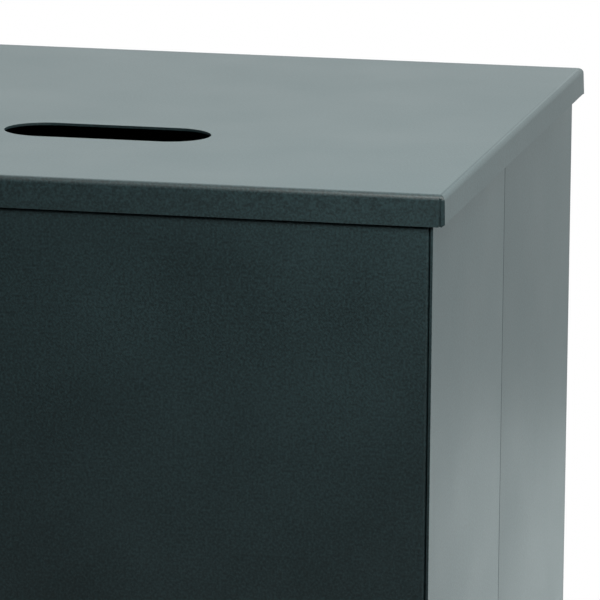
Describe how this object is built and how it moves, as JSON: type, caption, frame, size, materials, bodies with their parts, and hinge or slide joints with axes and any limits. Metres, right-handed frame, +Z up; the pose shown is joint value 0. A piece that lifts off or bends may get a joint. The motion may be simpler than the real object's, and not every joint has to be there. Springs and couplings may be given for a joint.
{
  "type": "book drop box",
  "caption": "Free-standing sheet-steel book return box: slotted overhanging lid, flush front door with cam lock, and a sprung platform that sinks as it fills.",
  "frame": {"origin": "on the floor under the middle of the lid", "axes": "+Z up, the door faces -Y, +X is to the right of someone who faces the door"},
  "size_m": [0.6, 0.63, 0.9],
  "materials": {
    "painted_sheet": "slate grey powder coat with a fine texture",
    "zinc_steel": "bright zinc plate",
    "spring_steel": "oiled spring wire",
    "nickel_plate": "satin nickel plate on die-cast zinc",
    "white_nylon": "moulded nylon",
    "black_moulding": "moulded ABS, fine grain",
    "black_rubber": "moulded rubber",
    "grey_felt": "needle felt on foam"
  },
  "bodies": {
    "cabinet": {"lid_cover": "painted_sheet", "lid_front_rib": "painted_sheet", "lid_rear_rib": "painted_sheet", "left_top_angle": "painted_sheet", "right_top_angle": "painted_sheet", "rear_top_angle": "painted_sheet", "lid_studs": "zinc_steel", "lid_nuts": "zinc_steel", "left_front_side": "painted_sheet", "right_front_side": "painted_sheet", "rear_shell": "painted_sheet", "front_header": "painted_sheet", "front_sill": "painted_sheet", "base_pan": "painted_sheet", "left_door_jamb": "painted_sheet", "right_door_jamb": "painted_sheet", "left_guide_post": "painted_sheet", "right_guide_post": "painted_sheet", "upper_pivot_pin": "zinc_steel", "lower_pivot_pin": "zinc_steel", "door_buffers": "black_rubber", "left_spring": "spring_steel", "right_spring": "spring_steel", "left_spring_anchor": "zinc_steel", "right_spring_anchor": "zinc_steel", "upper_stops": "white_nylon", "lower_buffers": "black_rubber", "front_left_foot": "black_rubber", "front_right_foot": "black_rubber", "rear_left_foot": "black_rubber", "rear_right_foot": "black_rubber", "foot_screws": "zinc_steel", "foot_nuts": "zinc_steel"},
    "door": {"door_skin": "painted_sheet", "door_stiffener": "painted_sheet", "upper_pivot_bush": "white_nylon", "lower_pivot_bush": "white_nylon", "lock_housing": "nickel_plate", "lock_nut": "zinc_steel", "finger_pull": "black_moulding", "pull_screws": "zinc_steel"},
    "lock_barrel": {"lock_plug": "nickel_plate", "lock_cam": "zinc_steel", "cam_screw": "zinc_steel"},
    "platform": {"platform_tray": "painted_sheet", "platform_mat": "grey_felt", "left_carriage": "zinc_steel", "right_carriage": "zinc_steel", "left_guide_shoe": "white_nylon", "right_guide_shoe": "white_nylon", "left_spring_eye": "zinc_steel", "right_spring_eye": "zinc_steel", "carriage_screws": "zinc_steel"}
  },
  "joints": [
    {"name": "door_hinge", "type": "hinge", "parent": "cabinet", "child": "door", "pos_m": [-0.273, -0.306, 0.47], "axis": [0, 0, -1], "range_deg": [0, 110]},
    {"name": "lock_turn", "type": "hinge", "parent": "door", "child": "lock_barrel", "pos_m": [0.25, -0.313, 0.56], "axis": [0, -1, 0], "range_deg": [0, 90]},
    {"name": "platform_slide", "type": "slide", "parent": "cabinet", "child": "platform", "axis": [0, 0, -1], "range_m": [0, 0.5], "stiffness_N_per_m": 1000, "springref_m": -0.1, "deforming": ["left_spring", "right_spring"]}
  ]
}
